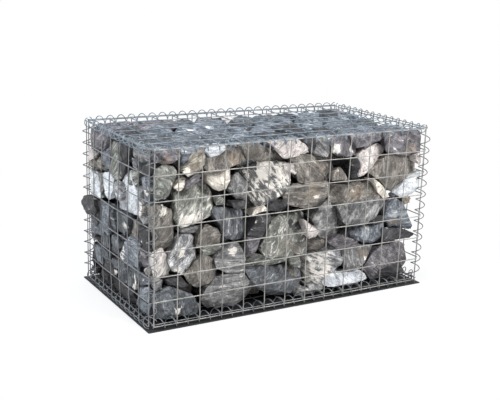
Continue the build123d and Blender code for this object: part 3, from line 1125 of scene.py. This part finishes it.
@dataclass
class Quarry:
    """Breaks angular blocks out of point clouds, and keeps them inside the basket.

    edge and hidden_edge are the longest edges in sight and out of it. coil_gap, wire_room and
    box_room are the room left at the coils, behind the panels' middles and inside the CAD box.
    Chips are flats between the fine grain's cells. Sizes are in millimetres and angles in degrees.
    """

    basket: Basket
    coils: Sequence[LacingCoil]
    edge: float = 9.0
    hidden_edge: float = 36.0
    arris: float = 1.4
    arris_share: tuple[float, float] = (0.5, 1.4)
    coil_gap: float = 1.0
    wire_room: float = 4.4
    box_room: float = 1.5
    crease: float = 13.0
    flat: float = 13.0
    merge: float = 0.3
    chops: tuple[int, int] = (2, 5)
    chop_aside: tuple[float, float] = (0.3, 1.1)
    chop_share: tuple[float, float] = (0.02, 0.09)
    grain: float = 0.01
    grain_shift: float = 40.0
    grain_turn: float = 6.28
    lump_scale: float = 3.1
    lump_height: float = 1.7
    chip_scale: float = 2.6
    chip_height: float = 7.5
    shrink: float = 1.0
    patch_core: float = 1.1

    def __post_init__(self) -> None:
        """Make the materials, and number them by kind."""
        self.materials = [finish.material() for finish in STONE_FINISHES]
        self.slots = {finish.kind: slot for slot, finish in enumerate(STONE_FINISHES)}

    def deliver(self, shape: Shape, node: str) -> bpy.types.Object:
        """Put a piece made of this stone into the frame in place of its CAD node."""
        return enter(shape.piece(self.materials, self.crease), "quarry_stone", node)

    def _contain(self, points: np.ndarray, proud: float) -> np.ndarray:
        """Keep points inside the wires and clear of the coils.

        Args:
            points: The points, in millimetres.
            proud: How far they may push out past the wires and the coils.

        Returns:
            The points, moved inward where they have to be.
        """
        box = self.basket
        held = points.copy()
        sides = ((0, box.side, box.left_face(), 1), (1, box.front, box.front_face(), 0))
        for axis, reach, drawn, other in sides:
            share = np.clip(held[:, other] / (box.length if other == 0 else box.depth) + 0.5, 0, 1)
            tall = np.clip((held[:, 2] - box.bottom) / (box.top - box.bottom), 0, 1)
            room = reach - self.wire_room + drawn.bulge * np.sin(math.pi * share) * np.sin(math.pi * tall)
            room = np.minimum(room + proud, box.reach[axis] - self.box_room)
            held[:, axis] = np.clip(held[:, axis], -room, room)
        held[:, 2] = np.clip(held[:, 2], box.base + self.wire_room, box.lid - self.wire_room)
        if proud:
            return held
        centre = np.array([0.0, 0.0, (box.bottom + box.top) / 2])
        for coil in self.coils:
            axes = [axis for axis in range(3) if axis != coil.run]
            into = np.sign(centre - coil.middle)[axes] / math.sqrt(2)
            off = held[:, axes] - coil.middle[axes]
            gap = np.linalg.norm(off, axis=1)
            room = coil.radius + coil.wire_radius + self.coil_gap
            close = gap < room
            away = off / np.maximum(gap, TINY)[:, None]
            away[away @ into < 0] = into
            for number, axis in enumerate(axes):
                held[close, axis] = coil.middle[axis] + away[close, number] * room
        return held

    @staticmethod
    def _chop(work: bmesh.types.BMesh, way: np.ndarray, share: float) -> None:
        """Strike a flat off a stone.

        Args:
            work: The stone so far.
            way: The direction that the flat faces.
            share: How much of the stone's reach that way comes off.
        """
        facing = Vector(way).normalized()
        reach = [corner.co.dot(facing) for corner in work.verts]
        limit = max(reach) - share * (max(reach) - min(reach))
        cut = bmesh.ops.bisect_plane(work, geom=work.verts[:] + work.edges[:] + work.faces[:],
                                     plane_co=facing * limit, plane_no=facing, clear_outer=True)
        rim = [item for item in cut["geom_cut"] if isinstance(item, bmesh.types.BMEdge)]
        bmesh.ops.edgeloop_fill(work, edges=rim)

    def block(self, shape: Shape, kind: Kind, cloud: np.ndarray, rng: np.random.Generator,
              deep: Callable[[Vector], bool], spots: Mapping[str, Sequence[tuple[np.ndarray, float]]],
              out: np.ndarray | None = None, proud: float = 0.0) -> None:
        """Break one stone and add it to a piece.

        Args:
            shape: The piece.
            kind: The sort of stone.
            cloud: Points that its hull goes round.
            rng: The source of its roughness.
            deep: Tells whether a point is out of sight.
            spots: Patches, as centre and radius in millimetres, by mark.
            out: The direction that it is seen from, where it is seen.
            proud: How far it may push out past the wires.
        """
        work = bmesh.new()
        for point in cloud:
            work.verts.new(point)
        found = bmesh.ops.convex_hull(work, input=work.verts[:])
        spare = {item for key in ("geom_interior", "geom_unused") for item in found[key]
                 if isinstance(item, bmesh.types.BMVert)}
        bmesh.ops.delete(work, geom=list(spare), context="VERTS")
        bmesh.ops.dissolve_limit(work, angle_limit=math.radians(self.flat), verts=work.verts[:],
                                 edges=work.edges[:])
        if out is not None:
            for _ in range(int(rng.integers(*self.chops))):
                aside = np.cross(out, rng.normal(size=3))
                aside /= np.linalg.norm(aside)
                way = out + aside * rng.uniform(*self.chop_aside)
                self._chop(work, way, rng.uniform(*self.chop_share))
        bmesh.ops.bevel(work, geom=work.edges[:], offset=self.arris * rng.uniform(*self.arris_share),
                        segments=1, profile=0.5, affect="EDGES", clamp_overlap=True)
        bmesh.ops.remove_doubles(work, verts=work.verts[:], dist=self.merge)
        bmesh.ops.triangulate(work, faces=work.faces[:])
        split_long(work, lambda point: self.hidden_edge if deep(point) else self.edge)
        work.normal_update()
        offset = rng.uniform(-self.grain_shift, self.grain_shift, 3)
        angle = rng.uniform(0, self.grain_turn)
        turn = np.array(Matrix.Rotation(angle, 3, Vector(rng.normal(size=3)).normalized()))
        places, own = [], []
        for corner in work.verts:
            local = Vector(turn @ np.array(corner.co) * self.grain + offset)
            lump = noise.fractal(local * self.lump_scale, 1.0, 2.0, 3)
            near = noise.voronoi(local * self.chip_scale)[1][0]
            tilt = noise.cell_vector(near * self.lump_scale) - Vector((0.5, 0.5, 0.5))
            chip = (local * self.chip_scale - near).dot(tilt)
            rise = self.lump_height * lump + self.chip_height * chip - self.shrink
            places.append(corner.co + corner.normal * rise)
            own.append(local)
        points = self._contain(np.array(places), proud)
        faces = [[corner.index for corner in part.verts] for part in indexed(work).faces]
        work.free()
        marks = {"grain": np.array(own)}
        for name in ("pale", "rusty"):
            worth = np.zeros(len(points))
            for centre, radius in spots.get(name, ()):
                far = np.linalg.norm(points - centre, axis=1) / radius
                worth = np.maximum(worth, self.patch_core - far / 2.0)
            marks[name] = np.clip(worth, 0, 1)
        shape.add(points, faces, self.slots[kind], marks)


@dataclass
class FaceFill:
    """The stones against one side of the basket.

    ring is how deep a stone's widest outline lies behind its flat, for one of full_size or more.
    nearest is the room to the wires, tight how far outlines are drawn out towards each other, and
    steep how much the flats tilt at random. A flat's corners lie at flat_share of the outline's
    reach. thickness is in millimetres, and bulk in mean radii. Stones are in sight to a depth of
    sight, and patches are centred at patch_depth.
    """

    name: str
    node: str
    face: Face
    stones: Sequence[Stone]
    seed: int
    turned: bool = False
    ring: tuple[float, float] = (4.0, 15.0)
    full_size: float = 45.0
    nearest: float = 5.5
    lean_scale: float = 1.3
    steep: float = 0.2
    tight: float = 1.07
    flat_share: tuple[float, float] = (0.62, 0.93)
    flat_depth: tuple[float, float] = (0.0, 3.0)
    flat_slope: float = 0.8
    bulk: tuple[float, float] = (1.5, 2.0)
    thickness: tuple[float, float] = (60.0, 125.0)
    back_share: tuple[float, float] = (0.6, 0.85)
    back_depth: tuple[float, float] = (0.8, 1.0)
    sight: float = 70.0
    patch_depth: float = 12.0

    def _cloud(self, stone: Stone, rng: np.random.Generator) -> np.ndarray:
        """Set out a stone's main corners: a tilted flat, its widest outline and its buried back.

        Args:
            stone: The stone.
            rng: The source of its irregular corners.

        Returns:
            The corners, in millimetres.
        """
        outline = np.array(stone.outline, float)
        centre = (outline.min(0) + outline.max(0)) / 2
        reach = (outline - centre) * self.tight
        pitch = float(np.linalg.norm(self.face.down))
        size = float(np.linalg.norm(reach, axis=1).mean()) * pitch
        steep = 0.0 if stone.proud else self.steep
        tilt = np.array([stone.lean[0], -stone.lean[1]]) * self.lean_scale + rng.normal(0, 1, 2) * steep
        slopes = reach @ tilt * pitch
        slopes = slopes - slopes.min()
        front = stone.back + self.nearest
        points, widest = [], []
        for place, slope in zip(centre + reach, slopes):
            depth = front + slope + rng.uniform(*self.ring) * min(1.0, size / self.full_size)
            widest.append(self.face.seen(*place, depth))
        count = int(rng.integers(4, 6))
        first = rng.uniform(0, len(outline))
        picks = (np.arange(count) * len(outline) / count + first).astype(int) % len(outline)
        for pick in picks:
            place = centre + reach[pick] * rng.uniform(*self.flat_share)
            depth = front + slopes[pick] * self.flat_slope + rng.uniform(*self.flat_depth)
            points.append(self.face.seen(*place, depth))
        thick = min(max(size * rng.uniform(*self.bulk), self.thickness[0]), self.thickness[1])
        middle = np.mean(widest, axis=0)
        for corner in widest[::2]:
            lower = middle + (corner - middle) * rng.uniform(*self.back_share)
            points.append(lower + self.face.inward * thick * rng.uniform(*self.back_depth))
        return np.array(points + widest)

    def build(self, quarry: Quarry) -> bpy.types.Object:
        """Break the stones and pile them behind the wires.

        Args:
            quarry: Where the stones come from.

        Returns:
            The piece.
        """
        rng = np.random.default_rng(self.seed)
        shape = Shape(self.name)
        flip = HALF_TURN if self.turned else np.ones(3)
        corner, inward = self.face.corner * flip, self.face.inward * flip
        for stone in self.stones:
            cloud = self._cloud(stone, rng) * flip
            limit = stone.back + self.sight

            def deep(point: Vector) -> bool:
                """Tell whether a point lies far behind the wires."""
                return float(np.dot(np.array(point) - corner, inward)) > limit

            depth = stone.back + self.patch_depth
            spots = {
                name: [(self.face.seen(u, v, depth) * flip, radius * NOMINAL_PITCH)
                       for u, v, radius in patches]
                for name, patches in (("pale", stone.pale), ("rusty", stone.rusty))
            }
            quarry.block(shape, stone.kind, cloud, rng, deep, spots, -inward, stone.proud)
        return quarry.deliver(shape, self.node)


def cells_round(seeds: np.ndarray, low: np.ndarray, high: np.ndarray, gap: float) -> list[np.ndarray]:
    """Share a rectangle out among points, each getting what lies nearest to it.

    Args:
        seeds: The points.
        low: The rectangle's lowest corner.
        high: The rectangle's highest corner.
        gap: How much narrower each share gets on every side.

    Returns:
        One outline for each point.
    """
    shares = []
    for own in seeds:
        outline = [low, np.array((high[0], low[1])), high, np.array((low[0], high[1]))]
        for other in seeds:
            if other is own:
                continue
            way = other - own
            far = float(np.linalg.norm(way))
            if far < TINY:
                continue
            way = way / far
            reach = far / 2 - gap
            kept = []
            for first, second in zip(outline, outline[1:] + outline[:1]):
                before = float(np.dot(first - own, way)) - reach
                after = float(np.dot(second - own, way)) - reach
                if before <= 0:
                    kept.append(first)
                if before * after < 0:
                    kept.append(first + (second - first) * before / (before - after))
            outline = kept
        shares.append(np.array(outline))
    return shares


@dataclass
class TopFill:
    """The stones that show through the lid.

    They fill the lid but for the margins, in cells, at its back left and front right. Their flats
    lie at a depth between the two of level, their widest outlines by ring deeper and their
    undersides by thickness. Toward the back they dip, most at the left.
    """

    face: Face
    seed: int = 31
    across: int = 10
    down: int = 5
    back_left: tuple[float, float] = (0.3, 0.2)
    front_right: tuple[float, float] = (0.15, 0.75)
    gap: float = 0.02
    jitter: tuple[float, float] = (0.28, 0.3)
    lean: float = 0.35
    lean_scale: float = 30.0
    level: tuple[float, float] = (5.0, 14.0)
    ring: tuple[float, float] = (14.0, 30.0)
    thickness: tuple[float, float] = (50.0, 75.0)
    flat_share: tuple[float, float] = (0.5, 0.8)
    flat_rise: float = 4.0
    back_share: float = 0.75
    nearest: float = 6.0
    sight: float = 40.0
    back_dip: float = 7.0
    dip_cells: float = 2.0
    dip_end: float = 5.0
    dip_fade: float = 3.0
    dip_least: float = 0.25
    name: str = "top_rubble"
    node: str = "top_stones"

    def build(self, quarry: Quarry) -> bpy.types.Object:
        """Lay the top stones.

        Args:
            quarry: Where the stones come from.

        Returns:
            The piece.
        """
        rng = np.random.default_rng(self.seed)
        shape = Shape(self.name)
        wide, tall = self.face.cells
        seeds = []
        for row in range(self.down):
            for column in range(self.across):
                shift = 0.5 if row % 2 else 0.0
                aside = column + 0.25 + shift + rng.uniform(-self.jitter[0], self.jitter[0])
                ahead = row + 0.5 + rng.uniform(-self.jitter[1], self.jitter[1])
                seeds.append((aside * wide / self.across, ahead * tall / self.down))
        # Mostly blue-grey and slate: the lid's bluish look is partly painted sky reflection in these
        # stones' colours.
        kinds = (Kind.BLUE, Kind.SLATE, Kind.BLUE, Kind.SLATE, Kind.BLUE, Kind.DARK_AND_SHADE, Kind.BLUE)
        last = np.array([wide, tall]) - self.front_right
        outlines = cells_round(np.array(seeds), np.array(self.back_left), last, self.gap)
        for outline in outlines:
            if len(outline) < 3:
                continue
            kind = kinds[int(rng.integers(len(kinds)))]
            centre = outline.mean(0)
            lean = rng.uniform(-self.lean, self.lean, 2)
            dip = self.back_dip * max(0.0, 1.0 - centre[1] / self.dip_cells)
            dip_share = min(max((self.dip_end - centre[0]) / self.dip_fade, self.dip_least), 1.0)
            base = rng.uniform(*self.level) + dip * dip_share
            points = []
            for u, v in outline:
                reach = np.array([u, v]) - centre
                slope = float(np.dot(lean, reach)) * self.lean_scale
                points.append(self.face.at(u, v, base + rng.uniform(*self.ring)))
                inner = centre + reach * rng.uniform(*self.flat_share)
                points.append(self.face.at(*inner, max(self.nearest, base + slope - self.flat_rise)))
                lower = centre + reach * self.back_share
                points.append(self.face.at(*lower, base + rng.uniform(*self.thickness)))
            limit = self.face.corner[2] - base - self.sight
            quarry.block(shape, kind, np.array(points), rng, lambda point: point.z < limit, {}, UP)
        return quarry.deliver(shape, self.node)


@dataclass
class CoreFill:
    """The stones in the middle, seen only through the gaps."""

    basket: Basket
    seed: int = 57
    counts: tuple[int, int, int] = (7, 3, 5)
    margins: tuple[float, float, float] = (115.0, 115.0, 60.0)
    lid_room: float = 40.0
    jitter: float = 16.0
    corners: int = 14
    size: float = 78.0
    spread: tuple[float, float] = (0.85, 1.1)
    name: str = "core_rubble"
    node: str = "core_stones"

    def build(self, quarry: Quarry) -> bpy.types.Object:
        """Fill the middle with plain blocks.

        Args:
            quarry: Where the stones come from.

        Returns:
            The piece.
        """
        rng = np.random.default_rng(self.seed)
        shape = Shape(self.name)
        box = self.basket
        low = np.array([-box.length / 2, -box.depth / 2, box.bottom]) + self.margins
        high = np.array([box.length / 2, box.depth / 2, box.top - self.lid_room]) - self.margins
        # Mostly dark stone, so the gaps between the side stones read as deep shade: painted shade.
        kinds = (Kind.DARK_AND_SHADE, Kind.DARK_AND_SHADE, Kind.DARK_AND_SHADE, Kind.BROWN)
        for place in np.ndindex(*self.counts):
            share = np.array(place) / (np.array(self.counts) - 1)
            middle = low + share * (high - low) + rng.uniform(-self.jitter, self.jitter, 3)
            around = rng.normal(size=(self.corners, 3))
            around /= np.linalg.norm(around, axis=1)[:, None]
            cloud = middle + around * self.size * rng.uniform(*self.spread, (self.corners, 1))
            kind = kinds[int(rng.integers(len(kinds)))]
            quarry.block(shape, kind, cloud, rng, lambda point: True, {})
        return quarry.deliver(shape, self.node)


# The studio


@dataclass
class Studio:
    """The floor, the lights and the camera.

    aim is where the lamps face and fade how far from the middle the floor turns white, in metres.
    """

    basket: Basket
    focal_px: float = 910.13
    width_px: int = 500
    sensor: float = 36.0
    yaw: float = math.radians(30.596)
    pitch: float = math.radians(14.647)
    roll: float = math.radians(1.895)
    fade: tuple[float, float] = (0.6, 1.15)
    aim: tuple[float, float, float] = (0.0, 0.0, 0.25)
    floor_radius: float = 9.0
    floor_sides: int = 64

    def camera(self) -> None:
        """Stand the camera where the photograph was taken from."""
        ahead = Vector((math.sin(self.yaw) * math.cos(self.pitch),
                        math.cos(self.yaw) * math.cos(self.pitch), -math.sin(self.pitch)))
        level = Vector((math.cos(self.yaw), -math.sin(self.yaw), 0.0))
        upright = level.cross(ahead)
        right = math.cos(self.roll) * level + math.sin(self.roll) * upright
        up = -math.sin(self.roll) * level + math.cos(self.roll) * upright
        lens = bpy.data.cameras.new("camera")
        lens.sensor_width = self.sensor
        lens.lens = self.focal_px / self.width_px * self.sensor
        camera = bpy.data.objects.new("camera", lens)
        camera.matrix_world = Matrix.Translation(Vector(self.basket.eye()) * MILLIMETRE) @ Matrix(
            (right, up, -ahead)).transposed().to_4x4()
        bpy.context.scene.collection.objects.link(camera)
        bpy.context.scene.camera = camera

    def _lamp(self, name: str, place: Vector, size: float, watts: float, colour: Tone) -> None:
        """Hang one soft round lamp that faces the basket.

        Args:
            name: Its name.
            place: Where it hangs, in metres.
            size: Its width, in metres.
            watts: Its power.
            colour: Its colour.
        """
        data = bpy.data.lights.new(name, "AREA")
        data.shape = "DISK"
        data.size = size
        data.energy = watts
        data.color = colour
        lamp = bpy.data.objects.new(name, data)
        lamp.location = place
        lamp.rotation_euler = (Vector(self.aim) - place).to_track_quat("-Z", "Y").to_euler()
        bpy.context.scene.collection.objects.link(lamp)

    def lights(self) -> None:
        """Hang the lamps, and light the world, which is white where it is seen."""
        self._lamp("key_lamp", Vector((1.6, -2.9, 2.9)), 1.4, 172.0, (1.0, 0.993, 0.98))
        self._lamp("left_lamp", Vector((-3.0, -0.4, 2.7)), 1.4, 96.0, (0.96, 0.98, 1.0))
        self._lamp("sky_lamp", Vector((-0.6, 1.0, 3.4)), 2.2, 58.0, (0.84, 0.93, 1.0))
        world = bpy.data.worlds.new("studio")
        world.use_nodes = True
        bpy.context.scene.world = world
        graph = Graph(world.node_tree)
        seen = graph.seen_plainly()
        soft = graph.node("ShaderNodeBackground", {}, {"Color": (0.94, 0.97, 1.0), "Strength": 0.42})
        white = graph.node("ShaderNodeBackground", {}, {"Color": (1.0, 1.0, 1.0), "Strength": 1.0})
        mixed = graph.node("ShaderNodeMixShader", {}, {0: seen, 1: soft, 2: white})
        graph.node("ShaderNodeOutputWorld", {}, {"Surface": mixed})

    def floor(self) -> None:
        """Lay the pale floor, which keeps the basket's shadow."""
        material, graph = blank("pale_floor")
        seen = graph.seen_plainly()
        place = graph.node("ShaderNodeTexCoord", {}, {}, "Object")
        far = graph.node("ShaderNodeVectorMath", {"operation": "LENGTH"}, {0: place}, "Value")
        plain = 0.62 + 0.38 * far.step(*self.fade)
        matt = graph.node("ShaderNodeBsdfDiffuse", {}, {"Color": (0.86, 0.86, 0.86)})
        white = graph.node("ShaderNodeEmission", {}, {"Color": (1.0, 1.0, 1.0), "Strength": 1.0})
        mixed = graph.node("ShaderNodeMixShader", {}, {0: seen * plain, 1: matt, 2: white})
        graph.node("ShaderNodeOutputMaterial", {}, {"Surface": mixed})
        mesh = bpy.data.meshes.new("floor")
        angles = [2 * math.pi * side / self.floor_sides for side in range(self.floor_sides)]
        rim = [(self.floor_radius * math.cos(a), self.floor_radius * math.sin(a), 0.0) for a in angles]
        mesh.from_pydata(rim, [], [tuple(range(self.floor_sides))])
        mesh.materials.append(material)
        made = bpy.data.objects.new("floor", mesh)
        bpy.context.scene.collection.objects.link(made)


def main() -> None:
    """Build the gabion and its studio."""
    logging.basicConfig(level=logging.INFO, format="%(message)s")
    basket = Basket.measured()
    studio = Studio(basket)
    studio.camera()
    studio.lights()
    studio.floor()

    front_wire = WireFinish("galvanised_mesh_wire", tone(168, 166, 162), tone(116, 115, 112)).material()
    # The lid's wire is bluish: painted sky reflection.
    lid_wire = WireFinish("lid_wire_painted_sky_reflection", tone(130, 143, 154), tone(80, 91, 102)).material()
    # The side panels' and the coils' wires are darker than the front's: painted shade.
    side_wire = WireFinish("mesh_wire_painted_shade", tone(146, 147, 148), tone(92, 94, 98)).material()
    coil_wire = WireFinish("coil_wire_painted_shade", tone(124, 128, 132), tone(74, 78, 83)).material()
    front, left = basket.front_face(), basket.left_face()
    panels = (("front_mesh_panel", front, front_wire), ("back_mesh_panel", turned(front), side_wire),
              ("left_mesh_panel", left, side_wire), ("right_mesh_panel", turned(left), side_wire),
              ("mesh_lid", basket.lid_face(), lid_wire), ("mesh_base", basket.base_face(), side_wire))
    for seed, (node, face, finish) in enumerate(panels, start=100):
        MeshPanel(node, face, finish, seed).build()
    coils = basket_coils(basket, lid_wire, coil_wire)
    for coil in coils:
        coil.build()
    BaseBoard(BoardFinish().material()).build()

    quarry = Quarry(basket, coils)
    drawing = basket.left_drawing()
    right_stones = [stone for stone in LEFT_STONES if min(u for u, v in stone.outline) > RIGHT_END_FROM]
    end_ring = (4.0, 12.0)
    FaceFill("front_rubble", "front_stones", front, FRONT_STONES, 1).build(quarry)
    FaceFill("back_rubble", "back_stones", front, FRONT_STONES, 2, True).build(quarry)
    FaceFill("left_rubble", "left_end_stones", drawing, LEFT_STONES, 3, False, end_ring).build(quarry)
    FaceFill("right_rubble", "right_end_stones", drawing, right_stones, 4, True, end_ring).build(quarry)
    TopFill(basket.lid_face()).build(quarry)
    CoreFill(basket).build(quarry)

    bpy.context.scene.view_settings.view_transform = "Standard"
    bpy.context.view_layer.update()


if __name__ == "__main__":
    main()
